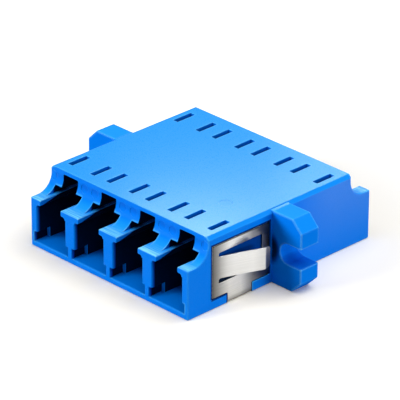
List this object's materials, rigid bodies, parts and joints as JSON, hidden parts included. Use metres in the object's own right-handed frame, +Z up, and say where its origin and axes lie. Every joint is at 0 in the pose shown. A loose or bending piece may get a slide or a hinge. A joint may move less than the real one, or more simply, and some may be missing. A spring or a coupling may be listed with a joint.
{
  "type": "lc fibre adapter",
  "caption": "Blue fibre-optic coupler block with a row of LC sockets at each end, side ears with open screw notches, a wrap-under steel spring clip and split sleeves inside",
  "frame": {"origin": "middle of the housing's underside, at mid-length", "axes": "+X across the row of ports, +Y along the fibres towards the rear ports, +Z up"},
  "size_m": [0.0342, 0.0288, 0.0091],
  "materials": {
    "housing_plastic": "satin moulded blue",
    "clip_steel": "bright rolled stainless sheet",
    "sleeve_ceramic": "polished zirconia",
    "retainer_plastic": "moulded blue"
  },
  "bodies": {
    "root": {"housing": "housing_plastic", "retaining_clip": "clip_steel", "sleeve_1": "sleeve_ceramic", "sleeve_2": "sleeve_ceramic", "sleeve_3": "sleeve_ceramic", "sleeve_4": "sleeve_ceramic", "sleeve_retainer_1": "retainer_plastic", "sleeve_retainer_2": "retainer_plastic", "sleeve_retainer_3": "retainer_plastic", "sleeve_retainer_4": "retainer_plastic"}
  },
  "joints": []
}
